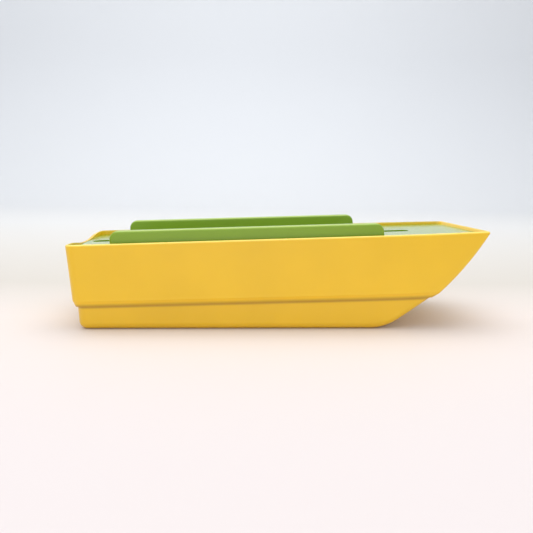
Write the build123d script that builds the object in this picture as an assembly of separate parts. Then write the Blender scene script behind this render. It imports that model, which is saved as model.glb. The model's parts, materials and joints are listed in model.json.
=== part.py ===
from build123d import *
import math
import os

# A boat-shaped storage case for a two-player fleet guessing game.
# Millimetres. Origin: centre of the footprint on the table. +X bow, +Y far side, +Z up.

# ---- driving dimensions: hull ----
RIM_LENGTH = 280.0        # stern to bow tip, along the rim
BEAM = 97.0               # widest, at the rim
RIM_HEIGHT_STERN = 55.7   # rim above the table at the stern
RIM_TILT = 2.3            # degrees that the rim plane rises towards the bow
WALL = 1.9                # hull wall
FLOOR = 2.2               # hull floor
UPPER_DRAFT = 1.2         # degrees, side wall above the step
LOWER_DRAFT = 2.7         # degrees, side wall below the step
BOW_TUCK = 5.3            # how far each side draws in by the bow tip
TUCK_START = 195.0        # distance from the stern where the sides start to draw in
STEP_HEIGHT_STERN = 15.4  # inner edge of the step above the table, at the stern
STEP_RISE = 0.028         # rise of the step per unit of length
STEP_TALL = 3.8           # height of the sloped band of the step
STEP_IN = 2.3             # how far the hull steps in
STEP_LEDGE = 0.9          # flat left under the sloped band
STERN_RAKE = 4.6          # degrees, transom above the step
STERN_RAKE_LOW = 2.6      # degrees, transom below the step
STERN_CORNER_R = 6.0      # upright corners at the transom
BOW_CORNER_R = 3.0        # upright corners at the bow
BASE_R = 5.0              # edges round the flat bottom
RIM_R = 1.2               # outer edge of the rim
STEP_TO_RIM = 42.0        # side wall above the step, over which the upper draft acts
DIP_DEPTH = 3.0           # thumb dip in the transom rim
DIP_WIDTH = 84.0
DIP_REACH = (-8.0, 10.0)  # the dip's cut, along the hull from the stern end of the rim
DIP_CUT_TALL = 6.0

# ---- driving dimensions: bow outline, from the stern and the table ----
BOW_TIP_LEAN = 31.0       # degrees from upright, at the tip
BOW_UPPER_MID = (264.2, 44.6)
BOW_UPPER_LEAN = 38.0
BOW_STEP_TOP = 242.9      # along the hull; its height is the step's
BOW_STEP_LEAN = 48.0
BOW_STEP_FOOT = 242.0
BOW_KEEL_END = 200.0      # where the flat bottom starts to curve up
BOW_KEEL_R = 33.0         # first curve above the flat bottom
BOW_KEEL_TURN = 34.0      # degrees that it turns through

# ---- driving dimensions: deck ----
DECK_RECESS_STERN = 3.2   # deck top below the rim plane, at the stern
DECK_RECESS_BOW = 2.0     # the same at the bow
DECK_THICK = 2.0
DECK_GAP = 0.3            # deck edge to hull wall
GROOVE_START = 6.5        # play groove, from the stern along the rim
GROOVE_END = 236.5
GROOVE_WIDTH = 9.6
GROOVE_DEPTH = 8.6
GROOVE_WALL = 1.6
SLOT_CLEARANCE = 0.35     # round each board where it passes the deck

# ---- driving dimensions: boards ----
BOARD_START = 26.8
BOARD_STAGGER = 1.2       # near board this far towards the bow, far board towards the stern
BOARD_LENGTH = 178.2
BOARD_THICK = 6.0
BOARD_PROUD = 7.8         # board top above the rim plane
BOARD_BELOW = 49.5        # board foot below the rim plane
BOARD_SIDE_GAP = 4.0      # board outer face inside the rim's outer edge
BOARD_CORNER_R = 6.0
BOARD_EDGE_R = 1.5
FOOT_TALL = 15.0          # thinner foot, two of which stand back to back in the play groove
FOOT_IN = 1.9
PANEL_LENGTH = 168.0
PANEL_TALL = 46.0
PANEL_THICK = 2.4
PANEL_CORNER_R = 2.0
PANEL_TOP = 1.2           # panel top below the rim plane
PANEL_FIT = 0.15
GRID_COUNT = 10
GRID_PITCH = 4.4
GRID_CENTRE = 41.0        # each grid's centre from the middle of the board
GRID_MARGIN = 5.0         # room for column letters above the first row
SOCKET_D = 2.1

# ---- driving dimensions: supports inside the hull ----
POST = 5.0                # deck post, square
POST_PAST_BOARD = 12.0    # posts beyond each end of the boards
POST_SIDES = (38.0, 36.0, 26.0)  # post centres from the middle: stern, past the boards, bow
BOW_POST_BACK = 30.0      # bow posts, back from the bow tip
ROOT = 72.0               # below the rim plane, where posts and rests start inside the floor
REST_INSET = 22.0         # rest centre from each end of a board
REST_WIDTH = 8.0
REST_CHEEK = 1.6          # inner cheek
REST_OUTER_CHEEK = 2.4
REST_GAP = 0.3            # round the board foot
REST_GRIP = 5.0           # how far the cheeks reach above the seat
REST_SEAT = -0.1          # seat below the board foot at rest

# ---- driving dimensions: tray ----
TRAY_START = 30.0
TRAY_LENGTH = 158.0
TRAY_WIDTH = 72.0
TRAY_TALL = 24.0
TRAY_WALL = 1.6
TRAY_CORNER_R = 4.0
BIN_LENGTHS = {"ships": 46.0, "hits": 38.0, "misses": 67.6}
BIN_CORNER_R = 3.0

# ---- driving dimensions: ships and pegs ----
SHIP_LENGTHS = {"five": 5, "four": 4, "three_a": 3, "three_b": 3, "two": 2}
SHIP_WIDTH = 4.0
SHIP_TALL = 3.4
SHIP_PIN_D = 1.9
SHIP_PIN = 2.0
SHIP_SPACING = 6.0
SHIP_NOSE = 3.0           # length that the bow tapers over
SHIP_BOW_BACK = 1.0       # the bow curve's middle point, back from the tip
SHIP_SHORT = 0.4          # ship shorter than its sockets' pitches
SHIP_BERTH = 8.0          # ship stern from the end of its bin
PEG_SHAFT_D = 2.0
PEG_SHAFT = 2.3
PEG_HEAD_D = 3.2
PEG_HEAD = 3.0
PEG_HEAD_R = 0.9
PEG_TIP = 0.3             # chamfer at the shaft end
PEG_ROW = 4.2             # peg spacing across the bin
PEG_COLUMN = 7.0          # peg spacing along the bin
PEG_ROWS = 6
HIT_COLUMNS = 4
MISS_COLUMNS = 8
REST_LIFT = 0.05          # loose pieces above the bin floor

# ---- derived places ----
TILT = math.radians(RIM_TILT)
STERN_X = -RIM_LENGTH * math.cos(TILT) / 2
HALF_BEAM = BEAM / 2
RIM_PLANE = Plane(
    origin=(STERN_X, 0, RIM_HEIGHT_STERN),
    x_dir=(math.cos(TILT), 0, math.sin(TILT)),
    z_dir=(-math.sin(TILT), 0, math.cos(TILT)),
)
BOARD_OUTER_Y = HALF_BEAM - BOARD_SIDE_GAP
BOARD_MIDDLE = BOARD_START + BOARD_LENGTH / 2
DECK_FALL = math.atan((DECK_RECESS_STERN - DECK_RECESS_BOW) / RIM_LENGTH)
DECK_PLANE = Plane(
    origin=RIM_PLANE.from_local_coords((0, 0, -DECK_RECESS_STERN)),
    x_dir=(math.cos(TILT + DECK_FALL), 0, math.sin(TILT + DECK_FALL)),
    z_dir=(-math.sin(TILT + DECK_FALL), 0, math.cos(TILT + DECK_FALL)),
)
OVER = 60.0               # how far tool solids reach past the hull
CUT = 1.0                 # how far a cutting tool runs past the face it cuts
UPRIGHT_RISE = 4.0        # an edge that rises more than this,
UPRIGHT_DRIFT = 3.0       # and drifts sideways less than this, is a corner of the hull
PROW_REACH = 8.0          # how far the bow outline runs on above the rim
TURN_MARGIN = 1.15        # the bow's curved sides run on past the tip by this factor


def rim_space(shape):
    """Place a shape whose X runs along the rim from the stern and whose Z is 0 at the rim."""
    return RIM_PLANE.location * shape


def deck_space(shape):
    """Place a shape whose X runs along the deck from the stern and whose Z is 0 at its top."""
    return DECK_PLANE.location * shape


def block(x_range, y_range, z_range):
    """A box given by its three ranges."""
    size = [high - low for low, high in (x_range, y_range, z_range)]
    middle = [(high + low) / 2 for low, high in (x_range, y_range, z_range)]
    return Pos(*middle) * Box(*size)


def leaned(point, inset, lean):
    """Move an outline point back along the hull so that the wall there is inset thick."""
    return (STERN_X + point[0] - inset / math.cos(math.radians(lean)), point[1])


def on_step(along):
    """The point of the step line at a distance from the stern."""
    return (along, STEP_HEIGHT_STERN + STEP_RISE * along)


def stern_x(height, inset):
    """Where the transom is at a height above the table, above the step."""
    return STERN_X + inset + (RIM_HEIGHT_STERN - height) * math.tan(math.radians(STERN_RAKE))


# ---- hull ----
def side_face(outline):
    """Closed outline in the X-Z plane, as a slab across the whole beam."""
    return extrude(Plane.XZ * make_face(outline.edges()), amount=BEAM, both=True)


def upper_elevation(inset):
    """Side outline from the step to above the rim."""
    rim_bow = RIM_HEIGHT_STERN + RIM_LENGTH * math.sin(TILT)
    reach = rim_bow + PROW_REACH
    tip = leaned((RIM_LENGTH * math.cos(TILT), rim_bow), inset, BOW_TIP_LEAN)
    prow_top = (tip[0] + (reach - tip[1]) * math.tan(math.radians(BOW_TIP_LEAN)), reach)
    stern_top = (stern_x(reach, inset), reach)
    foot = stern_x(STEP_HEIGHT_STERN, inset) - STERN_X
    stern_foot = (STERN_X + foot, on_step(foot)[1])
    bow_foot = leaned(on_step(BOW_STEP_TOP), inset, BOW_STEP_LEAN)
    bow_foot = (bow_foot[0], on_step(bow_foot[0] - STERN_X)[1])
    outline = Line(prow_top, stern_top) + Line(stern_top, stern_foot) + Line(stern_foot, bow_foot)
    outline += ThreePointArc(bow_foot, leaned(BOW_UPPER_MID, inset, BOW_UPPER_LEAN), tip)
    outline += Line(tip, prow_top)
    return side_face(outline)


def lower_elevation(inset, floor):
    """Side outline from the floor to the step."""
    top = stern_x(STEP_HEIGHT_STERN, inset) - STERN_X + STEP_IN
    stern_top = (STERN_X + top, on_step(top)[1])
    drop = (stern_top[1] - floor) * math.tan(math.radians(STERN_RAKE_LOW))
    heel = (stern_top[0] + drop, floor)
    keel_end = (STERN_X + BOW_KEEL_END - inset, floor)
    bow_top = leaned(on_step(BOW_STEP_FOOT), inset, BOW_STEP_LEAN)
    bow_top = (bow_top[0], on_step(bow_top[0] - STERN_X)[1])
    turn = math.radians(BOW_KEEL_TURN)
    radius = BOW_KEEL_R - inset
    rise = (keel_end[0] + radius * math.sin(turn), floor + radius * (1 - math.cos(turn)))
    outline = Line(bow_top, stern_top) + Line(stern_top, heel) + Line(heel, keel_end)
    outline += TangentArc(keel_end, rise, tangent=(1, 0))
    outline += TangentArc(rise, bow_top, tangent=(math.cos(turn), math.sin(turn)))
    return side_face(outline)


def half_sides(at_step, draft, low, high):
    """Everything on the centre side of one hull side, swept from stern to bow."""
    lean = math.tan(math.radians(draft))
    corners = [(at_step + low * lean, low), (at_step + high * lean, high)]
    corners += [(-OVER / 3, high), (-OVER / 3, low)]
    section = make_face(Polyline(*corners, close=True).edges())
    slant = math.hypot(1, STEP_RISE)
    start = Plane(origin=(STERN_X - OVER / 3, 0, STEP_HEIGHT_STERN - STEP_RISE * OVER / 3),
                  x_dir=(0, 1, 0), z_dir=(1, 0, STEP_RISE))
    straight = (TUCK_START + OVER / 3) * slant
    bend = RIM_LENGTH - TUCK_START
    radius = (bend ** 2 + BOW_TUCK ** 2) / (2 * BOW_TUCK)
    turn = math.degrees(math.asin(bend / radius)) * TURN_MARGIN
    swing = start.offset(straight)
    pivot = swing.from_local_coords((HALF_BEAM - radius, 0, 0))
    above = swing.from_local_coords((HALF_BEAM - radius, 1, 0))
    axis = Axis(pivot, Vector(*above) - Vector(*pivot))
    return extrude(start * section, amount=straight) + revolve(swing * section, axis, -turn)


def both_sides(at_step, draft, low, high):
    """The space between the two hull sides."""
    far = half_sides(at_step, draft, low, high)
    return far + mirror(far, Plane.XZ)


def upright_corners(body, x_low, x_high):
    """Edges that run up the hull's corners between two places along it."""
    found = []
    for edge in body.edges():
        box = edge.bounding_box()
        upright = box.size.Z > UPRIGHT_RISE and box.size.Y < UPRIGHT_DRIFT
        if upright and x_low < box.center().X - STERN_X < x_high and box.size.X < OVER:
            found.append(edge)
    return found


def bottom_edges(body, floor):
    """Edges round the flat bottom and up the lower bow."""
    low = [edge for edge in body.edges() if edge.bounding_box().max.Z < floor + BASE_R / 10]
    return low + upright_corners(body, RIM_LENGTH - 2 * OVER, RIM_LENGTH)


def half_beam_at_step(inset):
    """Half beam of the upper hull at the step, drawn in by inset."""
    return HALF_BEAM - STEP_TO_RIM * math.tan(math.radians(UPPER_DRAFT)) - inset


def hull_upper(inset=0.0, soften=0.0):
    """Solid form of the hull above the step, open above the rim."""
    upper = upper_elevation(inset) & both_sides(half_beam_at_step(inset), UPPER_DRAFT, 0.0, OVER)
    upper = fillet(upright_corners(upper, -OVER, OVER), STERN_CORNER_R - soften)
    return fillet(upright_corners(upper, RIM_LENGTH - 2 * OVER, RIM_LENGTH + OVER), BOW_CORNER_R)


def hull_lower(inset=0.0, floor=0.0, soften=0.0):
    """Solid form of the hull below the step."""
    wide = half_beam_at_step(inset) - STEP_IN
    lower = lower_elevation(inset, floor) & both_sides(wide, LOWER_DRAFT, -OVER / 2, 0.0)
    lower = fillet(upright_corners(lower, -OVER, OVER), STERN_CORNER_R - soften)
    return fillet(bottom_edges(lower, floor), BASE_R - soften)


def hull_body(inset=0.0, floor=0.0, soften=0.0):
    """Solid hull form, drawn in by inset, with the sloped band over the step."""
    upper = hull_upper(inset, soften)
    sill = upper.faces().sort_by(Axis.Z)[0]
    upper = chamfer(sill.edges(), length=STEP_IN - STEP_LEDGE, length2=STEP_TALL, reference=sill)
    return upper + hull_lower(inset, floor, soften)


def above_rim():
    """Everything above the rim plane."""
    return rim_space(block((-OVER, RIM_LENGTH + OVER), (-BEAM, BEAM), (0, OVER)))


def thumb_dip():
    """Tool for the shallow dip in the middle of the transom rim."""
    quarter = DIP_WIDTH / 4
    low_left = (-quarter, -DIP_DEPTH / 2)
    low_right = (quarter, -DIP_DEPTH / 2)
    curve = TangentArc((-2 * quarter, 0), low_left, tangent=(1, 0))
    curve += ThreePointArc(low_left, (0, -DIP_DEPTH), low_right)
    curve += TangentArc((2 * quarter, 0), low_right, tangent=(-1, 0))
    top_right = (2 * quarter, DIP_CUT_TALL)
    top_left = (-2 * quarter, DIP_CUT_TALL)
    curve += Polyline((2 * quarter, 0), top_right, top_left, (-2 * quarter, 0))
    face = Plane.YZ * make_face(curve.edges())
    return rim_space(Pos(DIP_REACH[0], 0, 0) * extrude(face, amount=DIP_REACH[1] - DIP_REACH[0]))


def deck_posts():
    """Posts that the deck rests on, fore and aft of the boards."""
    stern_post = BOARD_START - POST_PAST_BOARD
    middle_post = BOARD_START + BOARD_LENGTH + POST_PAST_BOARD
    bow_post = RIM_LENGTH - BOW_POST_BACK
    posts = Part()
    for along, across in zip((stern_post, middle_post, bow_post), POST_SIDES):
        width = (along - POST / 2, along + POST / 2)
        post = block(width, (across - POST / 2, across + POST / 2), (-ROOT, -DECK_THICK))
        posts += post + mirror(post, Plane.XZ)
    return deck_space(posts)


def board_rests():
    """Upright rests with a notch that each board's foot stands in."""
    foot_outer = BOARD_OUTER_Y - FOOT_IN + REST_GAP
    foot_inner = BOARD_OUTER_Y - BOARD_THICK - REST_GAP
    rests = Part()
    for along in (BOARD_START + REST_INSET, BOARD_START + BOARD_LENGTH - REST_INSET):
        width = (along - REST_WIDTH / 2, along + REST_WIDTH / 2)
        cheeks = (foot_inner - REST_CHEEK, foot_outer + REST_OUTER_CHEEK)
        rest = block(width, cheeks, (-ROOT, REST_GRIP - BOARD_BELOW))
        rest -= block(width, (foot_inner, foot_outer), (REST_SEAT - BOARD_BELOW, 0))
        rests += rest + mirror(rest, Plane.XZ)
    return rim_space(rests)


def hull_shell():
    """Outer hull with its floor, rests, posts, rounded rim and thumb dip."""
    outer = hull_body()
    shell = outer - hull_body(WALL, FLOOR, WALL) - above_rim()
    lips = [edge for edge in shell.edges() if on_outer_rim(edge)]
    shell = fillet(lips, RIM_R)
    inside = (board_rests() + deck_posts()) & hull_body(WALL / 2, FLOOR / 2, WALL / 2)
    return shell + inside - thumb_dip()


def on_outer_rim(edge):
    """True for an edge of the rim's outer loop."""
    place = RIM_PLANE.to_local_coords(edge.center())
    ends = [RIM_PLANE.to_local_coords(point.center()) for point in edge.vertices()]
    level = all(abs(point.Z) < 0.01 for point in ends + [place])
    if not level:
        return False
    aft = place.X < WALL * 0.8
    tuck = max(0.0, place.X - TUCK_START)
    side = HALF_BEAM - BOW_TUCK * (tuck / (RIM_LENGTH - TUCK_START)) ** 2
    return abs(place.Y) > side - WALL * 0.7 or aft or place.X > RIM_LENGTH - WALL / 2


def both(piece, stagger=0.0):
    """A piece made for the far side, and its mirror image for the near side."""
    return {"far": Pos(-stagger, 0, 0) * piece, "near": Pos(stagger, 0, 0) * mirror(piece, Plane.XZ)}


def both_boards(piece):
    """A board piece in rim space, for the far and the near side, in the model's own frame."""
    return {side: rim_space(made) for side, made in both(piece, BOARD_STAGGER).items()}


# ---- deck ----
def deck_cover():
    """Green deck with a slot for each board and a blind groove to stand them in."""
    plate = hull_upper(WALL + DECK_GAP, WALL)
    plate &= deck_space(block((-OVER, RIM_LENGTH + OVER), (-BEAM, BEAM), (-DECK_THICK, 0)))
    length = GROOVE_END - GROOVE_START
    place = Pos((GROOVE_START + GROOVE_END) / 2, 0, 0)
    outer = SlotOverall(length + 2 * GROOVE_WALL, GROOVE_WIDTH + 2 * GROOVE_WALL)
    inner = SlotOverall(length, GROOVE_WIDTH)
    trough = place * extrude(outer, amount=-GROOVE_DEPTH - GROOVE_WALL)
    deck = plate + deck_space(trough) - deck_space(place * extrude(inner, amount=-GROOVE_DEPTH))
    ends = (BOARD_START - SLOT_CLEARANCE, BOARD_START + BOARD_LENGTH + SLOT_CLEARANCE)
    across = (BOARD_OUTER_Y - BOARD_THICK - SLOT_CLEARANCE, BOARD_OUTER_Y + SLOT_CLEARANCE)
    slot = block(ends, across, (-OVER, OVER))
    for side in both_boards(slot).values():
        deck -= side
    return deck


# ---- boards ----
def upright_plate(length, tall, thick, corner):
    """Rounded plate standing in the X-Z plane, its outer face at Y = 0, its body towards -Y."""
    return extrude(Plane.XZ * RectangleRounded(length, tall, corner), amount=thick)


def far_board_shell():
    """Board moulding: plain outer face and hand strip, foot below, recess for the peg panel."""
    tall = BOARD_PROUD + BOARD_BELOW
    plate = upright_plate(BOARD_LENGTH, tall, BOARD_THICK, BOARD_CORNER_R)
    plate = fillet(plate.edges().filter_by(Axis.Y, reverse=True), BOARD_EDGE_R)
    plate = Pos(BOARD_MIDDLE, BOARD_OUTER_Y, BOARD_PROUD - tall / 2) * plate
    ends = (BOARD_START - CUT, BOARD_START + BOARD_LENGTH + CUT)
    foot = (-BOARD_BELOW - CUT, FOOT_TALL - BOARD_BELOW)
    plate -= block(ends, (BOARD_OUTER_Y - FOOT_IN, BOARD_OUTER_Y + CUT), foot)
    recess = upright_plate(PANEL_LENGTH, PANEL_TALL, PANEL_THICK + CUT, PANEL_CORNER_R)
    return plate - Pos(*panel_place()) * recess


def panel_place():
    """Middle of the peg panel's back face."""
    return (BOARD_MIDDLE, BOARD_OUTER_Y - BOARD_THICK + PANEL_THICK, -PANEL_TOP - PANEL_TALL / 2)


def far_board_panel():
    """Peg panel with two grids of sockets side by side."""
    size = (PANEL_LENGTH - 2 * PANEL_FIT, PANEL_TALL - 2 * PANEL_FIT)
    panel = upright_plate(*size, PANEL_THICK, PANEL_CORNER_R - PANEL_FIT)
    span = (GRID_COUNT - 1) * GRID_PITCH
    grid_z = PANEL_TALL / 2 - GRID_MARGIN - span / 2
    sockets = []
    for middle in (-GRID_CENTRE, GRID_CENTRE):
        for place in GridLocations(GRID_PITCH, GRID_PITCH, GRID_COUNT, GRID_COUNT):
            socket = Pos(middle, grid_z) * place * Circle(SOCKET_D / 2)
            sockets.append(extrude(Plane.XZ * socket, amount=PANEL_THICK))
    return Pos(*panel_place()) * (panel - sockets)


# ---- tray ----
def bins():
    """Start and end of each bin along the hull, and across it on the far side."""
    ranges = {}
    start = STERN_X + TRAY_START + TRAY_WALL
    for name, length in BIN_LENGTHS.items():
        ranges[name] = (start, start + length)
        start += length + TRAY_WALL
    return ranges, (TRAY_WALL / 2, TRAY_WIDTH / 2 - TRAY_WALL)


def store_tray():
    """Insert on the hull floor with three bins for each player."""
    middle = STERN_X + TRAY_START + TRAY_LENGTH / 2
    floor = FLOOR + TRAY_WALL
    tray = extrude(RectangleRounded(TRAY_LENGTH, TRAY_WIDTH, TRAY_CORNER_R), amount=TRAY_TALL)
    tray = Pos(middle, 0, FLOOR) * tray
    along, across = bins()
    for low, high in along.values():
        outline = RectangleRounded(high - low, across[1] - across[0], BIN_CORNER_R)
        pocket = extrude(outline, amount=TRAY_TALL)
        pocket = Pos((low + high) / 2, sum(across) / 2, floor) * pocket
        for side in both(pocket).values():
            tray -= side
    return tray


# ---- ships and pegs ----
def ship(holes):
    """Ship of a number of holes, bow towards +X, keel pins down, stern at X = 0."""
    length = holes * GRID_PITCH - SHIP_SHORT
    shoulder = length - SHIP_NOSE
    mid_bow = length - SHIP_BOW_BACK
    half = SHIP_WIDTH / 2
    plan = Line((0, half), (0, -half)) + Line((0, -half), (shoulder, -half))
    plan += ThreePointArc((shoulder, -half), (mid_bow, -half / 2), (length, 0))
    plan += ThreePointArc((length, 0), (mid_bow, half / 2), (shoulder, half))
    plan += Line((shoulder, half), (0, half))
    hull = Pos(0, 0, SHIP_PIN) * extrude(make_face(plan.edges()), amount=SHIP_TALL)
    first = (GRID_PITCH - SHIP_SHORT) / 2
    for step in range(holes):
        place = Pos(first + step * GRID_PITCH, 0, SHIP_PIN + SHIP_TALL)
        hull -= place * Cylinder(SOCKET_D / 2, 2 * PEG_SHAFT)
    for step in (0, holes - 1):
        pin = Pos(first + step * GRID_PITCH, 0, SHIP_PIN / 2) * Cylinder(SHIP_PIN_D / 2, SHIP_PIN)
        hull += pin
    return hull


def far_fleet():
    """Five ships lying side by side in the ship bin."""
    along, across = bins()
    fleet = {}
    row = sum(across) / 2 - SHIP_SPACING * (len(SHIP_LENGTHS) - 1) / 2
    for name, holes in SHIP_LENGTHS.items():
        start = along["ships"][0] + SHIP_BERTH
        fleet[name] = Pos(start, row, FLOOR + TRAY_WALL + REST_LIFT) * ship(holes)
        row += SHIP_SPACING
    return fleet


def peg():
    """Peg lying along +X with its middle at the origin."""
    head = Cylinder(PEG_HEAD_D / 2, PEG_HEAD, align=(Align.CENTER, Align.CENTER, Align.MIN))
    head = fillet(head.edges().sort_by(Axis.Z)[-1], PEG_HEAD_R)
    shaft = Cylinder(PEG_SHAFT_D / 2, PEG_SHAFT, align=(Align.CENTER, Align.CENTER, Align.MAX))
    shaft = chamfer(shaft.edges().sort_by(Axis.Z)[0], PEG_TIP)
    return Rot(0, 90, 0) * (head + shaft)


def far_pegs(bin_name, columns):
    """Rows of pegs lying on a bin floor, every other row turned end for end."""
    along, across = bins()
    low, high = along[bin_name]
    height = FLOOR + TRAY_WALL + PEG_HEAD_D / 2 + REST_LIFT
    one = peg()
    turned = Rot(0, 0, 180) * one
    pegs = []
    for column in range(columns):
        for row in range(PEG_ROWS):
            x = (low + high) / 2 + (column - (columns - 1) / 2) * PEG_COLUMN
            y = sum(across) / 2 + (row - (PEG_ROWS - 1) / 2) * PEG_ROW
            pegs.append(Pos(x, y, height) * (turned if row % 2 else one))
    return Compound(children=pegs)


# ---- writing ----
def all_nodes():
    """Every sub-part by name."""
    nodes = {"hull_shell": hull_shell(), "deck_cover": deck_cover(), "store_tray": store_tray()}
    for name, shape in (("board_shell", far_board_shell()), ("board_panel", far_board_panel())):
        for side, piece in both_boards(shape).items():
            nodes[side + "_" + name] = piece
    made = {"ship_" + name: shape for name, shape in far_fleet().items()}
    made["hit_pegs"] = far_pegs("hits", HIT_COLUMNS)
    made["miss_pegs"] = far_pegs("misses", MISS_COLUMNS)
    for name, shape in made.items():
        for side, piece in both(shape).items():
            nodes[side + "_" + name] = piece
    return nodes


os.makedirs("parts", exist_ok=True)
for node_name, node_shape in all_nodes().items():
    export_step(node_shape, "parts/" + node_name + ".step")
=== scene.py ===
# %% [markdown]
# # A boat-shaped fleet guessing case
# The case is a hollow yellow hull, a green deck that drops inside its rim, and two green
# peg boards that stand in slots along the sides. Under the deck lies a tray with ships and
# pegs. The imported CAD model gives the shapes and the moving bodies, and the few sizes that
# it doesn't state, such as the pitch of the sockets, are repeated here. This file adds
# finish, the small moulded detail, light and a camera.

# %% Load the frame
import json
import math

import bmesh
import bpy
from mathutils import Matrix, Vector


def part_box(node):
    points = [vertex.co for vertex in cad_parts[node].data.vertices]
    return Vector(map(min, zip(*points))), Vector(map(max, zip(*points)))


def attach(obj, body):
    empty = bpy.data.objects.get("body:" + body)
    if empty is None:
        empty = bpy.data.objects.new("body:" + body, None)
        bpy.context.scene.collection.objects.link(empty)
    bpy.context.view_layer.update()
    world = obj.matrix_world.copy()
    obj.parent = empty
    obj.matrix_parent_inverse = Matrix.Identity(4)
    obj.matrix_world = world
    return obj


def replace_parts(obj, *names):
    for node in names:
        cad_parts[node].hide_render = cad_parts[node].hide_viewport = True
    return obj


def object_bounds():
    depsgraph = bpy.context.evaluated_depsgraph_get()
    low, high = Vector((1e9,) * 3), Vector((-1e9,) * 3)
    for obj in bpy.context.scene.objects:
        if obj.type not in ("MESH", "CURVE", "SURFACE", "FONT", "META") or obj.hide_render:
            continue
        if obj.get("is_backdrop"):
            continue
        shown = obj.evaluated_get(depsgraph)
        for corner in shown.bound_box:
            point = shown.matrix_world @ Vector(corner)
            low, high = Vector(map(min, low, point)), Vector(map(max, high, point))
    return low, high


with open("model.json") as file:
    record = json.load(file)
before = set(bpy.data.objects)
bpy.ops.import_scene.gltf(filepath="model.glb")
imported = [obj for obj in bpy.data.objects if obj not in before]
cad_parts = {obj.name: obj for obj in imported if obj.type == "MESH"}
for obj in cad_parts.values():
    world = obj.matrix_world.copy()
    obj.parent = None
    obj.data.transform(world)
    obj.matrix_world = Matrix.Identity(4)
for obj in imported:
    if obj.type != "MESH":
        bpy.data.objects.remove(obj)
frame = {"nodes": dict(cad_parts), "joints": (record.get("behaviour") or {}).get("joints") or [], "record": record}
MM = 0.001
cad_low, cad_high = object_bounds()
print("case measures", [round((b - a) / MM, 1) for a, b in zip(cad_low, cad_high)], "mm")

# %% [markdown]
# ## Directions
# The rim, the deck and the boards are not level: the rim rises towards the bow. The lift
# joints point square to the rim, so the tilt is read from a joint instead of being typed
# again. Every added piece is built flat and then placed with a matrix, made of such
# directions where it stands on a tilted part, which keeps its object at the origin with its place in its mesh.

# %% Tilted directions
rim_up = Vector(frame["joints"][0]["axis"]).normalized()
rim_along = Vector((rim_up.z, 0, -rim_up.x))
across = Vector((0, 1, 0))
rim_tilt = math.atan2(rim_along.z, rim_along.x)
RIM_LENGTH = 280
DECK_EXTRA_RISE = 1.2  # over the rim's length, the deck rises this much more than the rim
DECK_THICK = 2.0 * MM
deck_tilt = rim_tilt + math.atan(DECK_EXTRA_RISE / RIM_LENGTH)
print("rim tilt", round(math.degrees(rim_tilt), 2), "deck tilt", round(math.degrees(deck_tilt), 2))


def placed(origin, right, up, out):
    """Matrix that takes local X, Y, Z to three directions at a point."""
    turn = Matrix((right, up, out)).transposed().to_4x4()
    return Matrix.Translation(origin) @ turn


def reach(node_name, direction):
    """How far a node reaches along a direction."""
    return max(direction.dot(vertex.co) for vertex in frame["nodes"][node_name].data.vertices)


# %% [markdown]
# ## Material helpers
# Moulded plastic is one finish in many colours: a coloured base, a satin skin, fine grain
# left by the mould, faint scuffs from use, a painted highlight along top edges and painted
# shade along a crease. A tree could be copied by hand for each colour, but a few helpers keep
# every finish alike, and each one then only says what differs.


# %% New material and its coordinates
def new_material(name):
    """A material with a Principled shader, and its tree."""
    material = bpy.data.materials.new(name)
    material.use_nodes = True
    return material, material.node_tree


def object_place(tree, stretch=(1, 1, 1)):
    """Object coordinates, stretched."""
    place = tree.nodes.new("ShaderNodeTexCoord")
    spread = tree.nodes.new("ShaderNodeMapping")
    spread.inputs["Scale"].default_value = stretch
    tree.links.new(place.outputs["Object"], spread.inputs["Vector"])
    return spread.outputs["Vector"]


# %% Noise and distance
def noise(tree, scale, detail=2.0, roughness=0.5, stretch=(1, 1, 1)):
    """Noise on Object coordinates; scale is in features per metre."""
    texture = tree.nodes.new("ShaderNodeTexNoise")
    texture.inputs["Scale"].default_value = scale
    texture.inputs["Detail"].default_value = detail
    texture.inputs["Roughness"].default_value = roughness
    tree.links.new(object_place(tree, stretch), texture.inputs["Vector"])
    return texture.outputs["Fac"]


def along_direction(tree, direction):
    """Distance of a surface point along a direction, in metres."""
    place = tree.nodes.new("ShaderNodeTexCoord")
    measure = tree.nodes.new("ShaderNodeVectorMath")
    measure.operation = "DOT_PRODUCT"
    measure.inputs[1].default_value = direction
    tree.links.new(place.outputs["Object"], measure.inputs[0])
    return measure.outputs["Value"]


# %% Ranges and colours
def remap(tree, value, source, target, smooth=False):
    """A value moved from one range to another, held at its ends."""
    node = tree.nodes.new("ShaderNodeMapRange")
    if smooth:
        node.interpolation_type = "SMOOTHSTEP"
    for label, number in zip(("From Min", "From Max", "To Min", "To Max"), (*source, *target)):
        node.inputs[label].default_value = number
    tree.links.new(value, node.inputs["Value"])
    return node.outputs["Result"]


def ramp(tree, value, stops):
    """Colour ramp through (place, colour) stops."""
    node = tree.nodes.new("ShaderNodeValToRGB")
    while len(node.color_ramp.elements) < len(stops):
        node.color_ramp.elements.new(0.5)
    for element, (place, colour) in zip(node.color_ramp.elements, stops):
        element.position = place
        element.color = (*colour, 1)
    tree.links.new(value, node.inputs["Fac"])
    return node.outputs["Color"]


def mix(tree, factor, first, second):
    """Colour between a linked colour and a fixed one."""
    node = tree.nodes.new("ShaderNodeMix")
    node.data_type = "RGBA"
    tree.links.new(factor, node.inputs["Factor"])
    tree.links.new(first, node.inputs["A"])
    node.inputs["B"].default_value = (*second, 1)
    return node.outputs["Result"]


def multiply(tree, first, second):
    """Product of two linked values."""
    node = tree.nodes.new("ShaderNodeMath")
    node.operation = "MULTIPLY"
    tree.links.new(first, node.inputs[0])
    tree.links.new(second, node.inputs[1])
    return node.outputs["Value"]


def shade(colour, factor):
    """The same colour, lighter or darker."""
    return tuple(min(1.0, channel * factor) for channel in colour)
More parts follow.
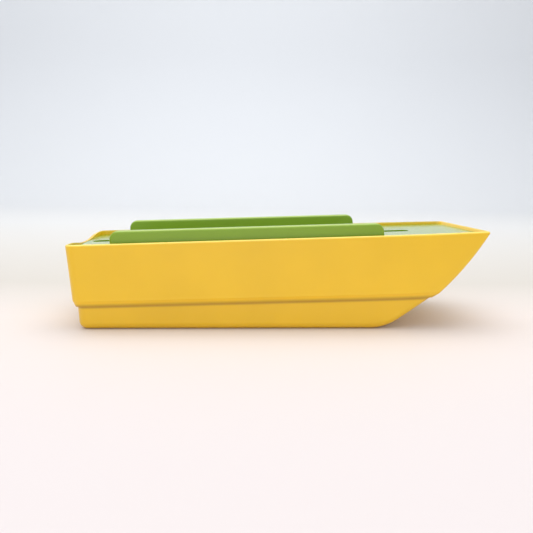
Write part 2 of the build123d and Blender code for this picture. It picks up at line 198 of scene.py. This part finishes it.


# %% [markdown]
# ## The plastic itself
# Three noises at three sizes do the work. A broad one tints the colour, as pigment does
# where it flowed into the mould. A middle one, stretched along the piece, changes the
# gloss like wiped fingerprints. The finest one is the mould's own grain, as bump only,
# because at under a tenth of a millimetre deep it would waste faces as geometry. An optional
# pale band is a painted highlight along a top edge: its place comes from the CAD node itself.
# An optional darker line is painted shade at an inside corner, where light reaches least.

# %% Values that every colour shares
CLOUDS_PER_METRE = 18.0
WIPES_PER_METRE = 30.0
GRAINS_PER_METRE = 2200.0
NOISE_SPAN = (0.3, 0.7)  # where most of a noise's values lie
WIPE_STRETCH = (0.35, 1, 1)  # wiping runs lengthways
SMOOTHER, ROUGHER = -0.04, 0.05  # how far wiping moves the roughness
SHADE_LEFT_BELOW = 0.12  # share of the painted shade that stays on the hull below the crease
EDGE_HIGHLIGHT = 0.75  # share of the painted highlight colour on the very edge
EDGE_FULL = 0.2  # share of the edge's depth that takes the full painted highlight
GLOW_DEPTHS = (0.003, 0.002, 0.0007)  # how deep red, green and blue light goes, in metres
GLOW_SCALE = 0.5
PLASTIC_IOR = 1.49
GRAIN_DEPTH = 0.08 * MM
print("mould grain is", round(1 / GRAINS_PER_METRE / MM, 2), "mm across")


# %% Moulded plastic
def moulded_plastic(name, colour, rough=0.34, coat=0.25, coat_rough=0.2, grain=0.12,
                    glow=0.1, tint=0.04, edge=None, crease=None):
    """Injection-moulded plastic.

    edge is (direction, top, depth, colour) of a painted highlight along a top edge, and crease
    is (direction, place, above, below, colour, fall) of painted shade along a corner, which
    thins out over the last distance, below it.
    """
    material, tree = new_material(name)
    shader = tree.nodes["Principled BSDF"]
    cloud = remap(tree, noise(tree, CLOUDS_PER_METRE, 3.0), NOISE_SPAN, (0, 1))
    colours = ramp(tree, cloud, [(0.0, shade(colour, 1 - tint)), (1.0, shade(colour, 1 + tint))])
    # painted shade: darker over the step's crease, and slightly darker on all the hull below it
    if crease:
        direction, line, above, below, shade_colour, fall = crease
        height = along_direction(tree, direction)
        upper = remap(tree, height, (line + above, line), (0, 1), smooth=True)
        bottom = line - below
        lower = remap(tree, height, (bottom, bottom - fall), (1, SHADE_LEFT_BELOW), smooth=True)
        colours = mix(tree, multiply(tree, upper, lower), colours, shade_colour)
    # painted highlight: a paler colour along the top edge
    if edge:
        direction, top, depth, pale = edge
        height = along_direction(tree, direction)
        full = top - EDGE_FULL * depth
        highlit = remap(tree, height, (top - depth, full), (0, EDGE_HIGHLIGHT), smooth=True)
        colours = mix(tree, highlit, colours, pale)
    tree.links.new(colours, shader.inputs["Base Color"])
    wiped = noise(tree, WIPES_PER_METRE, detail=4.0, roughness=0.6, stretch=WIPE_STRETCH)
    gloss = remap(tree, wiped, NOISE_SPAN, (rough + SMOOTHER, rough + ROUGHER))
    tree.links.new(gloss, shader.inputs["Roughness"])
    shader.inputs["Subsurface Weight"].default_value = glow
    shader.inputs["Subsurface Radius"].default_value = GLOW_DEPTHS
    shader.inputs["Subsurface Scale"].default_value = GLOW_SCALE
    shader.inputs["Coat Weight"].default_value = coat
    shader.inputs["Coat Roughness"].default_value = coat_rough
    shader.inputs["IOR"].default_value = PLASTIC_IOR
    bump = tree.nodes.new("ShaderNodeBump")
    bump.inputs["Strength"].default_value = grain
    bump.inputs["Distance"].default_value = GRAIN_DEPTH
    tree.links.new(noise(tree, GRAINS_PER_METRE), bump.inputs["Height"])
    tree.links.new(bump.outputs["Normal"], shader.inputs["Normal"])
    return material


# %% [markdown]
# ## Colours, painted highlights and painted shade
# The case has two plastics, a warm yellow and a leaf green, and its loose pieces add grey,
# red and white. Top edges carry a painted highlight and the hull's step a painted shade. Where
# they lie could be painted by hand, but the rim's and the boards' own tops, and the line of the
# step, place them exactly.

# %% Colours
HULL_YELLOW = (0.86, 0.53, 0.010)
# painted highlight along the rim's top edge
RIM_HIGHLIGHT_YELLOW = (1.0, 0.74, 0.14)
# painted shade at the hull's step
STEP_SHADE_YELLOW = (0.54, 0.31, 0.010)
LEAF_GREEN = (0.21, 0.36, 0.006)
# painted highlight along the boards' top edges
BOARD_HIGHLIGHT_GREEN = (0.42, 0.56, 0.12)
SHIP_GREY = (0.30, 0.34, 0.38)
PEG_RED = (0.52, 0.025, 0.018)
PEG_WHITE = (0.80, 0.79, 0.75)
print("hull", HULL_YELLOW, "deck and boards", LEAF_GREEN)

# %% Painted highlights on edges and painted shade at the step crease
STEP_RISE = 0.028  # rise of the hull's step per unit of length
STEP_AT_STERN = 15.4 * MM
CREASE_ABOVE = 2.6 * MM
CREASE_BELOW = 0.5 * MM
CREASE_FALL = 1.6 * MM
EDGE_DEPTH = 1.3 * MM
step_up = Vector((-STEP_RISE, 0, 1)).normalized()
step_line = step_up.dot(Vector((cad_low.x, 0, STEP_AT_STERN)))
step_crease = (step_up, step_line, CREASE_ABOVE, CREASE_BELOW, STEP_SHADE_YELLOW, CREASE_FALL)
rim_edge = (rim_up, reach("hull_shell", rim_up), EDGE_DEPTH, RIM_HIGHLIGHT_YELLOW)
board_edge = (rim_up, reach("near_board_shell", rim_up), EDGE_DEPTH, BOARD_HIGHLIGHT_GREEN)
print("step line", round(step_line / MM, 1), "mm, rim top", round(rim_edge[1] / MM, 1), "mm")

# %% Finishes
PANEL_GREEN = shade(LEAF_GREEN, 0.9)
TRAY_GREEN = shade(LEAF_GREEN, 0.85)
finishes = {
    "hull_yellow": moulded_plastic("hull_yellow_plastic", HULL_YELLOW, edge=rim_edge, crease=step_crease),
    "deck_green": moulded_plastic("deck_green_plastic", LEAF_GREEN, rough=0.24, coat=0.6,
                                  coat_rough=0.16, grain=0.05),
    "board_green": moulded_plastic("board_green_plastic", LEAF_GREEN, rough=0.36, edge=board_edge),
    "panel_green": moulded_plastic("panel_green_plastic", PANEL_GREEN, rough=0.45, grain=0.3),
    "tray_green": moulded_plastic("tray_green_plastic", TRAY_GREEN, rough=0.48, grain=0.3),
    "ship_grey": moulded_plastic("ship_grey_plastic", SHIP_GREY, rough=0.4),
    "peg_red": moulded_plastic("peg_red_plastic", PEG_RED, rough=0.25),
    "peg_white": moulded_plastic("peg_white_plastic", PEG_WHITE, rough=0.25, glow=0.25),
}
print("finishes:", *finishes)


# %% Paint the CAD pieces
def paint(piece, material):
    """Give a piece one material."""
    piece.data.materials.clear()
    piece.data.materials.append(material)


slot_of = {part["node"]: part["material_slot"] for part in frame["record"]["subparts"]}
for node_name, node in frame["nodes"].items():
    paint(node, finishes[slot_of[node_name]])
print(len(frame["nodes"]), "nodes painted with", len(finishes), "finishes")

# %% [markdown]
# ## One tree for everything that stands in rows
# Pegs in a bin, collars round the sockets, the lines of a grid, ribs under the deck and
# ejector marks all repeat on a grid of points. They could be copied in a Python loop, but
# one Geometry Nodes tree does all of them: it takes one item, a grid of points, an
# optional half turn of every other row and a little seeded disorder. Realize Instances
# turns the copies into real faces, and Set Material gives them their finish.


# %% Build the tree
def rows_tree():
    """Geometry Nodes tree that repeats the incoming mesh on a grid of points."""
    tree = bpy.data.node_groups.new("items_in_rows", "GeometryNodeTree")
    sockets = (("Item", "Geometry"), ("Columns", "Int"), ("Rows", "Int"), ("Column Pitch", "Float"),
               ("Row Pitch", "Float"), ("Turned Row", "Int"), ("Disorder", "Float"), ("Seed", "Int"),
               ("Finish", "Material"))
    for label, kind in sockets:
        tree.interface.new_socket(label, in_out="INPUT", socket_type="NodeSocket" + kind)
    tree.interface.new_socket("Geometry", in_out="OUTPUT", socket_type="NodeSocketGeometry")
    given = tree.nodes.new("NodeGroupInput").outputs
    result = tree.nodes.new("NodeGroupOutput").inputs["Geometry"]

    def node(kind, **settings):
        made = tree.nodes.new(kind)
        for key, value in settings.items():
            setattr(made, key, value)
        return made

    def math_node(operation, first, second):
        made = node("ShaderNodeMath", operation=operation)
        for socket, value in zip(made.inputs, (first, second)):
            if isinstance(value, (int, float)):
                socket.default_value = value
            else:
                tree.links.new(value, socket)
        return made.outputs["Value"]

    def span(count, pitch):
        return math_node("MULTIPLY", math_node("SUBTRACT", given[count], 1), given[pitch])

    points = node("GeometryNodeMeshGrid")
    tree.links.new(given["Columns"], points.inputs["Vertices X"])
    tree.links.new(given["Rows"], points.inputs["Vertices Y"])
    tree.links.new(span("Columns", "Column Pitch"), points.inputs["Size X"])
    tree.links.new(span("Rows", "Row Pitch"), points.inputs["Size Y"])
    index = node("GeometryNodeInputIndex").outputs["Index"]
    row = math_node("MODULO", index, given["Rows"])
    odd = math_node("MODULO", math_node("ADD", row, given["Turned Row"]), 2)
    half_turn = math_node("MULTIPLY", odd, math.pi)
    wobble = node("FunctionNodeRandomValue", data_type="FLOAT")
    tree.links.new(math_node("MULTIPLY", given["Disorder"], -1), wobble.inputs[2])
    tree.links.new(given["Disorder"], wobble.inputs[3])
    tree.links.new(given["Seed"], wobble.inputs["Seed"])
    heading = node("ShaderNodeCombineXYZ")
    tree.links.new(math_node("ADD", half_turn, wobble.outputs[1]), heading.inputs["Z"])
    copies = node("GeometryNodeInstanceOnPoints")
    tree.links.new(points.outputs["Mesh"], copies.inputs["Points"])
    tree.links.new(given["Item"], copies.inputs["Instance"])
    tree.links.new(heading.outputs["Vector"], copies.inputs["Rotation"])
    real = node("GeometryNodeRealizeInstances")
    tree.links.new(copies.outputs["Instances"], real.inputs["Geometry"])
    finish = node("GeometryNodeSetMaterial")
    tree.links.new(real.outputs["Geometry"], finish.inputs["Geometry"])
    tree.links.new(given["Finish"], finish.inputs["Material"])
    tree.links.new(finish.outputs["Geometry"], result)
    return tree


in_rows = rows_tree()
print("tree has", len(in_rows.nodes), "nodes")


# %% Run the tree
def link_piece(name, mesh):
    """A new object in the scene."""
    piece = bpy.data.objects.new(name, mesh)
    bpy.context.scene.collection.objects.link(piece)
    return piece


def repeat(item, columns, rows, column_pitch, row_pitch, material,
           turned_row=0, disorder=0.0, seed=1):
    """The item's mesh repeated on a centred grid, as a plain mesh with one material."""
    holder = link_piece("holder", item)
    rows_modifier = holder.modifiers.new("rows", "NODES")
    rows_modifier.node_group = in_rows
    keys = {entry.name: entry.identifier for entry in in_rows.interface.items_tree
            if entry.in_out == "INPUT"}
    values = {"Columns": columns, "Rows": rows, "Column Pitch": column_pitch, "Row Pitch": row_pitch,
              "Turned Row": turned_row, "Disorder": disorder, "Seed": seed, "Finish": material}
    for label, value in values.items():
        rows_modifier[keys[label]] = value
    bpy.context.view_layer.update()
    graph = bpy.context.evaluated_depsgraph_get()
    made = bpy.data.meshes.new_from_object(holder.evaluated_get(graph))
    bpy.data.objects.remove(holder)
    return made


# %% [markdown]
# ## From a mesh to a piece
# A player sees one moulding, not its copies, so meshes that belong together are joined
# into one. Parenting could hold them together as well, but a joined mesh keeps its object
# at the origin. The piece then gets its finish and the body that it moves with.


# %% Join meshes and add a piece
def joined(meshes, matrices):
    """One mesh made of several, each moved by its own matrix."""
    whole = bmesh.new()
    for mesh, matrix in zip(meshes, matrices):
        part = mesh.copy()
        part.transform(matrix)
        whole.from_mesh(part)
    result = bpy.data.meshes.new("joined")
    whole.to_mesh(result)
    whole.free()
    return result


def add_piece(name, mesh, slot, body):
    """Put a finished mesh in the scene as a piece of a body, in one of the record's finishes."""
    mesh.name = name
    piece = link_piece(name, mesh)
    paint(piece, finishes[slot])
    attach(piece, body)
    print(name, len(mesh.polygons), "faces on", body)
    return piece


# %% [markdown]
# ## Turned and barred items
# Most small items are either round, so a profile turned about an axis makes them, or a
# bar with softened edges. Both helpers return closed meshes with faces outwards, which is
# what a printable STL file needs.


# %% Round items and bars
def turned(profile, sides, closed=False):
    """Mesh turned about X from (along, radius) points; closed joins the profile's ends."""
    shape = bmesh.new()
    rings = []
    for along, radius in profile:
        ring = []
        for step in range(sides):
            angle = 2 * math.pi * step / sides
            ring.append(shape.verts.new((along, radius * math.cos(angle), radius * math.sin(angle))))
        rings.append(ring)
    pairs = list(zip(rings, rings[1:]))
    if closed:
        pairs.append((rings[-1], rings[0]))
    for first, second in pairs:
        for step in range(sides):
            after = (step + 1) % sides
            shape.faces.new((first[step], first[after], second[after], second[step]))
    if not closed:
        shape.faces.new(rings[0])
        shape.faces.new(rings[-1])
    bmesh.ops.recalc_face_normals(shape, faces=shape.faces)
    for face in shape.faces:
        face.smooth = len(face.verts) == 4
    mesh = bpy.data.meshes.new("turned")
    shape.to_mesh(mesh)
    shape.free()
    return mesh


def bar(length, width, tall, soften):
    """Bar along X on the XY plane, with softened edges."""
    shape = bmesh.new()
    bmesh.ops.create_cube(shape, size=1.0)
    bmesh.ops.scale(shape, vec=(length, width, tall), verts=shape.verts)
    bmesh.ops.translate(shape, vec=(0, 0, tall / 2), verts=shape.verts)
    bmesh.ops.bevel(shape, geom=shape.edges, offset=soften, segments=1, affect="EDGES")
    mesh = bpy.data.meshes.new("bar")
    shape.to_mesh(mesh)
    shape.free()
    return mesh


# %% [markdown]
# ## Pegs
# A peg is a round-topped head on a thin, slightly tapered shaft, about five millimetres
# long. The CAD pegs hold the place and the weight; these take over the look, with a domed
# head, a waist under it and a rounded tip. Their grid is the CAD grid, so each one lies
# where its CAD peg lies, and only its heading wanders by a degree or two.

# %% Peg shape
PEG_PROFILE = [(-2.65, 0.55), (-2.5, 0.8), (-0.7, 1.0), (-0.35, 1.02), (-0.35, 1.45), (-0.15, 1.6),
               (1.3, 1.6), (2.05, 1.38), (2.5, 0.85), (2.64, 0.3)]
PEG_SIDES = 12
peg_mesh = turned([(x * MM, radius * MM) for x, radius in PEG_PROFILE], PEG_SIDES)
print("peg is", round(PEG_PROFILE[-1][0] - PEG_PROFILE[0][0], 2), "mm long")

# %% Pegs in their bins
PEG_PITCH = (7.0 * MM, 4.2 * MM)
PEG_ROWS = 6
PEG_DISORDER = math.radians(2.0)
for seed, (bin_name, columns, slot) in enumerate((("hit", 4, "peg_red"), ("miss", 8, "peg_white"))):
    for side, first_turned in (("near", 1), ("far", 0)):
        node_name = f"{side}_{bin_name}_pegs"
        low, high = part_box(node_name)
        pegs = repeat(peg_mesh, columns, PEG_ROWS, *PEG_PITCH, finishes[slot],
                      first_turned, PEG_DISORDER, seed)
        pegs.transform(Matrix.Translation((low + high) / 2))
        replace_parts(add_piece(f"{side}_{bin_name}_peg_rows", pegs, slot, "hull"), node_name)

# %% [markdown]
# ## Collars round the sockets
# Each socket in a peg panel stands in a low raised collar, which guides the peg in and
# gives the grid its look. A collar is a small ring of a few dozen faces, because there
# are four hundred of them on the boards. The same collars, a little wider, ring the holes
# of the ships.

# %% Collar shape
COLLAR = [(-0.05, 1.05), (0.22, 1.1), (0.3, 1.25), (0.22, 1.42), (-0.05, 1.5)]
COLLAR_SIDES = 12


def collar(scale=1.0):
    """Ring that lies on the XY plane round a socket."""
    ring = turned([(x * MM, radius * MM * scale) for x, radius in COLLAR], COLLAR_SIDES, closed=True)
    ring.transform(Matrix.Rotation(-math.pi / 2, 4, "Y"))
    return ring


# %% Places on the panels
GRID_COUNT = 10
GRID_PITCH = 4.4 * MM
GRID_CENTRES = (-41 * MM, 41 * MM)
GRID_LIFT = -1.8 * MM  # each grid's centre from the panel's centre


def panel_matrix(side):
    """Local X reads left to right on the panel, Y is up, Z comes out of its face."""
    low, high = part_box(f"{side}_board_panel")
    middle = (low + high) / 2
    if side == "far":
        return placed((middle.x, low.y, middle.z), rim_along, rim_up, -across)
    return placed((middle.x, high.y, middle.z), -rim_along, rim_up, across)


grid_places = [Matrix.Translation((centre, GRID_LIFT, 0)) for centre in GRID_CENTRES]
print(len(grid_places), "grids of", GRID_COUNT, "by", GRID_COUNT, "on each board")

# %% Collars on the panels
collar_grid = repeat(collar(), GRID_COUNT, GRID_COUNT, GRID_PITCH, GRID_PITCH, finishes["panel_green"])
for side in ("near", "far"):
    collars = joined([collar_grid] * 2, [panel_matrix(side) @ place for place in grid_places])
    add_piece(f"{side}_socket_collars", collars, "panel_green", f"{side}_board")

# %% [markdown]
# ## Grid lines
# A fine raised line runs between every two columns and rows, so that a square can be
# found at a glance. Bars in rows again, from the same tree: one set upright, one level.

# %% Lines between the squares
LINE_WIDTH = 0.35 * MM
LINE_TALL = 0.18 * MM
LINE_SOFTEN = 0.08 * MM
grid_side = GRID_COUNT * GRID_PITCH
level_line = bar(grid_side + LINE_WIDTH, LINE_WIDTH, LINE_TALL, LINE_SOFTEN)
upright_line = level_line.copy()
upright_line.transform(Matrix.Rotation(math.pi / 2, 4, "Z"))
lines = [repeat(level_line, 1, GRID_COUNT + 1, GRID_PITCH, GRID_PITCH, finishes["panel_green"]),
         repeat(upright_line, GRID_COUNT + 1, 1, GRID_PITCH, GRID_PITCH, finishes["panel_green"])]
for side in ("near", "far"):
    places = [panel_matrix(side) @ place for place in grid_places]
    grid_lines = joined(lines * 2, [places[0], places[0], places[1], places[1]])
    add_piece(f"{side}_grid_lines", grid_lines, "panel_green", f"{side}_board")

# %% [markdown]
# ## Letters and numbers
# Players call squares by a letter and a number. They are raised in the mould in the same
# green, above the first row and beside the first column. Text objects give the shapes;
# each becomes a mesh before it is placed, because a text's own place would be lost. The
# front, back and sides of a text come apart, so the seams between them are closed.

# %% Raised characters
LETTER_SIZE = 2.9 * MM
LETTER_TALL = 0.12 * MM
SEAM_REACH = 0.001 * MM  # corners closer than this are one corner


def character(text):
    """One raised label, centred on the origin, as a mesh."""
    curve = bpy.data.curves.new("label", "FONT")
    curve.body = text
    curve.size = LETTER_SIZE
    curve.extrude = LETTER_TALL
    curve.resolution_u = 2
    curve.align_x = "CENTER"
    curve.align_y = "CENTER"
    holder = link_piece("label_holder", curve)
    graph = bpy.context.evaluated_depsgraph_get()
    mesh = bpy.data.meshes.new_from_object(holder.evaluated_get(graph))
    bpy.data.objects.remove(holder)
    shape = bmesh.new()
    shape.from_mesh(mesh)
    bmesh.ops.remove_doubles(shape, verts=shape.verts, dist=SEAM_REACH)
    bmesh.ops.recalc_face_normals(shape, faces=shape.faces)
    shape.to_mesh(mesh)
    shape.free()
    return mesh


# %% Labels on the panels
ROW_LETTERS = "ABCDEFGHIJ"
LABEL_GAP = 3.9 * MM  # from the first socket's centre to its label
first_socket = -(GRID_COUNT - 1) * GRID_PITCH / 2
label_meshes, label_places = [], []
for step, letter in enumerate(ROW_LETTERS):
    along = step * GRID_PITCH
    label_meshes += [character(str(step + 1)), character(letter)]
    label_places += [Vector((first_socket + along, -first_socket + LABEL_GAP, 0)),
                     Vector((first_socket - LABEL_GAP, -first_socket - along, 0))]
for side in ("near", "far"):
    meshes, matrices = [], []
    for place in grid_places:
        for mesh, spot in zip(label_meshes, label_places):
            meshes.append(mesh)
            matrices.append(panel_matrix(side) @ place @ Matrix.Translation(spot))
    add_piece(f"{side}_grid_labels", joined(meshes, matrices), "panel_green", f"{side}_board")

# %% [markdown]
# ## Ships
# The CAD ships already have their plan, holes and keel pins. Collars round the holes are
# all that the real ones add. The number of holes is the ship's own count, and the places
# come from its box.

# %% Collars on the ships
SHIP_HOLES = {"five": 5, "four": 4, "three_a": 3, "three_b": 3, "two": 2}
FIRST_HOLE = 2.0 * MM  # from the ship's stern
SHIP_COLLAR_SCALE = 1.15
for side in ("near", "far"):
    for ship, holes in SHIP_HOLES.items():
        low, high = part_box(f"{side}_ship_{ship}")
        ship_collar = collar(SHIP_COLLAR_SCALE)
        row = repeat(ship_collar, holes, 1, GRID_PITCH, GRID_PITCH, finishes["ship_grey"])
        middle = low.x + FIRST_HOLE + (holes - 1) * GRID_PITCH / 2
        row.transform(Matrix.Translation((middle, (low.y + high.y) / 2, high.z)))
        add_piece(f"{side}_ship_{ship}_collars", row, "ship_grey", "hull")

# %% [markdown]
# ## Ribs under the deck
# A thin moulded deck would bow under a thumb, so cross ribs stiffen it between the groove
# and the board slots. They show when the deck is lifted. A rib is a bar with softened
# edges, repeated from stern to bow in one row on each side of the groove.

# %% Places under the deck
RIB_SINK = 0.3 * MM  # how far a rib runs into the deck, so that they are one moulding
deck_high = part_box("deck_cover")[1]
deck_along = Vector((math.cos(deck_tilt), 0, math.sin(deck_tilt)))
deck_up = Vector((-math.sin(deck_tilt), 0, math.cos(deck_tilt)))
boards_low, boards_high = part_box("far_board_shell")
board_middle = (boards_low.x + boards_high.x) / 2
print("ribs centre on", round(board_middle / MM, 1), "mm from the case's middle")


def under_deck(x, y):
    """Place on the deck's underside, with Z pointing down and X across the case."""
    top = deck_high.z - (deck_high.x - x) * math.tan(deck_tilt)
    point = Vector((x, y, top - DECK_THICK / math.cos(deck_tilt)))
    return placed(point + deck_up * RIB_SINK, across, deck_along, -deck_up)


# %% Deck ribs
RIB_LENGTH = 26.0 * MM
RIB_WIDTH = 1.2 * MM
RIB_TALL = 4.0 * MM
RIB_SOFTEN = 0.3 * MM
RIB_COUNT = 8
RIB_PITCH = 22.0 * MM
RIB_ROW = 22.0 * MM  # rib centres from the case's middle
rib = bar(RIB_LENGTH, RIB_WIDTH, RIB_TALL + RIB_SINK, RIB_SOFTEN)
ribs = repeat(rib, 1, RIB_COUNT, RIB_PITCH, RIB_PITCH, finishes["deck_green"])
rib_places = [under_deck(board_middle, sign * RIB_ROW) for sign in (-1, 1)]
add_piece("deck_ribs", joined([ribs, ribs], rib_places), "deck_green", "deck")

# %% [markdown]
# ## Ejector marks
# Pins push a moulding out of its mould and leave shallow round marks on its inside. They
# are what makes an empty hull look moulded. Each is a low disc with a rounded rim, on the
# hull floor before and behind the tray, and under the deck between its ribs.

# %% Mark shape
MARK_PROFILE = [(-0.1, 2.6), (0.04, 2.6), (0.12, 2.45), (0.05, 2.25), (0.05, 0.3)]
MARK_SIDES = 24
mark = turned([(x * MM, radius * MM) for x, radius in MARK_PROFILE], MARK_SIDES)
mark.transform(Matrix.Rotation(-math.pi / 2, 4, "Y"))
print("mark has", len(mark.polygons), "faces")

# %% Marks on the hull floor
MARK_SPREAD = 26.0 * MM
MARKS_IN_ROW = 3
MARKS_BEHIND_TRAY = 11 * MM
MARKS_BEFORE_TRAY = 7 * MM
tray_low, tray_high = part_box("store_tray")
mark_row = repeat(mark, 1, MARKS_IN_ROW, MARK_SPREAD, MARK_SPREAD, finishes["hull_yellow"])
floor_places = [Matrix.Translation((tray_low.x - MARKS_BEHIND_TRAY, 0, tray_low.z)),
                Matrix.Translation((tray_high.x + MARKS_BEFORE_TRAY, 0, tray_low.z))]
add_piece("hull_ejector_marks", joined([mark_row] * 2, floor_places), "hull_yellow", "hull")

# %% Marks under the deck
DECK_MARK_COLUMNS, DECK_MARK_ROWS = 2, 4
deck_marks = repeat(mark, DECK_MARK_COLUMNS, DECK_MARK_ROWS, 2 * RIB_ROW, 2 * RIB_PITCH,
                    finishes["deck_green"])
deck_marks.transform(under_deck(board_middle, 0) @ Matrix.Translation((0, 0, RIB_SINK)))
add_piece("deck_ejector_marks", deck_marks, "deck_green", "deck")

# %% [markdown]
# ## Table and backdrop
# The case stands on a white sheet that curves up behind it, as on a maker's table. Two
# planes would show a line where they meet, so one bent strip is both. Its colour is painted
# light and shade: warm where the sheet lies flat, a painted shade band just behind the case,
# and cooler and brighter where it rises.


# %% Floor and backdrop
def sweep_sheet():
    """White sheet: a floor that curves up into a wall."""
    near, far, bend, wall, half = 1.6, 1.3, 0.6, 2.4, 3.0
    profile = [(-near, 0.0), (far, 0.0)]
    bend_steps = 24
    for step in range(1, bend_steps + 1):
        turn = math.pi / 2 * step / bend_steps
        profile.append((far + bend * math.sin(turn), bend * (1 - math.cos(turn))))
    profile.append((far + bend, wall))
    mesh = bpy.data.meshes.new("studio_sheet")
    verts = [(side * half, y, z) for y, z in profile for side in (-1, 1)]
    faces = [(2 * i, 2 * i + 1, 2 * i + 3, 2 * i + 2) for i in range(len(profile) - 1)]
    mesh.from_pydata(verts, [], faces)
    mesh.update()
    for polygon in mesh.polygons:
        polygon.use_smooth = True
    return link_piece("studio_sheet", mesh)


sheet = sweep_sheet()
print("sheet has", len(sheet.data.polygons), "faces")

# %% Paper
PAPER_SPAN = (-0.2, 1.9)  # from before the case to the wall, in metres
PAPER_ROUGH = 0.75
paper, paper_tree = new_material("studio_paper")
backwards = remap(paper_tree, along_direction(paper_tree, across), PAPER_SPAN, (0, 1))
# painted light and shade along the sheet: a darker band just behind the case, and a cooler, brighter wall
paper_shade_stops = [(0.0, (0.735, 0.675, 0.67)), (0.09, (0.735, 0.67, 0.64)), (0.15, (0.60, 0.565, 0.515)),
               (0.45, (0.69, 0.69, 0.685)), (1.0, (0.74, 0.765, 0.80))]
paper_colour = ramp(paper_tree, backwards, paper_shade_stops)
paper_shader = paper_tree.nodes["Principled BSDF"]
paper_tree.links.new(paper_colour, paper_shader.inputs["Base Color"])
paper_shader.inputs["Roughness"].default_value = PAPER_ROUGH
paint(sheet, paper)
sheet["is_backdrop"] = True
print("paper has", len(paper_shade_stops), "tones")

# %% [markdown]
# ## Light
# Three soft panels and a pale room light the case. One panel stands low in front and
# brightens the side, one hangs above and brightens the deck, and one only lights the
# wall behind. The room is brighter overhead than at its horizon, so corners that turn
# down go darker. A single lamp would give hard shadows that hide the step.


# %% Lights
def soft_light(name, place, target, size, power):
    """A square area light aimed at a point, with its size in metres and its power in watts."""
    data = bpy.data.lights.new(name, "AREA")
    data.shape = "SQUARE"
    data.size = size
    data.energy = power
    light = bpy.data.objects.new(name, data)
    light.location = place
    light.rotation_euler = (Vector(target) - Vector(place)).to_track_quat("-Z", "Y").to_euler()
    bpy.context.scene.collection.objects.link(light)
    print(name, power, "W")


soft_light("front_light", place=(-0.05, -1.35, 0.12), target=(-0.02, 0, 0.03), size=0.75, power=3.2)
soft_light("top_light", place=(-0.1, 0.1, 1.6), target=(0, 0, 0), size=1.6, power=13)
soft_light("wall_light", place=(0, 0.3, 1.5), target=(0, 1.9, 0.5), size=1.6, power=9)
bpy.context.scene.view_settings.view_transform = "Standard"

# %% Room
ROOM_COLOUR = (0.97, 0.98, 1.0, 1)
ROOM_RISE = (0.0, 0.7)  # from the horizon to well overhead
ROOM_STRENGTH = (0.5, 0.95)
world = bpy.data.worlds.new("room")
bpy.context.scene.world = world
world.use_nodes = True
sky = world.node_tree
facing = sky.nodes.new("ShaderNodeTexCoord")
facing_parts = sky.nodes.new("ShaderNodeSeparateXYZ")
sky.links.new(facing.outputs["Generated"], facing_parts.inputs["Vector"])
background = sky.nodes["Background"]
background.inputs["Color"].default_value = ROOM_COLOUR
strength = remap(sky, facing_parts.outputs["Z"], ROOM_RISE, ROOM_STRENGTH, smooth=True)
sky.links.new(strength, background.inputs["Strength"])
print("room strength from", *ROOM_STRENGTH)

# %% [markdown]
# ## Camera
# A phone-like view from a little above the deck, close enough that the far rim looks much
# shorter than the near one. It could be aimed at a point, but then it couldn't roll. The
# camera is placed in the case's own frame, then turned by heading, tilt and a slight roll.

# %% Camera
CAMERA_PLACE = Vector((-33.4, -387.2, 100.0)) * MM
HEADING, DOWN, ROLL = (math.radians(angle) for angle in (3.70, 9.49, 0.96))
camera_data = bpy.data.cameras.new("camera")
camera_data.lens = 36.0
camera_data.sensor_width = 36.0
camera = bpy.data.objects.new("camera", camera_data)
bpy.context.scene.collection.objects.link(camera)
bpy.context.scene.camera = camera
level = Matrix.Rotation(-HEADING, 4, "Z") @ Matrix.Rotation(math.pi / 2 - DOWN, 4, "X")
camera.matrix_world = Matrix.Translation(CAMERA_PLACE) @ level @ Matrix.Rotation(ROLL, 4, "Z")
print("camera is", round(CAMERA_PLACE.length / MM), "mm from the case's middle")

# %% [markdown]
# ## Sizes
# Finish must not change a real size, so the CAD model's box and the finished model's box
# are both printed, so that they can be compared.

# %% Size after finish
low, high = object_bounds()
print("finished case measures", [round((b - a) / MM, 1) for a, b in zip(low, high)], "mm")
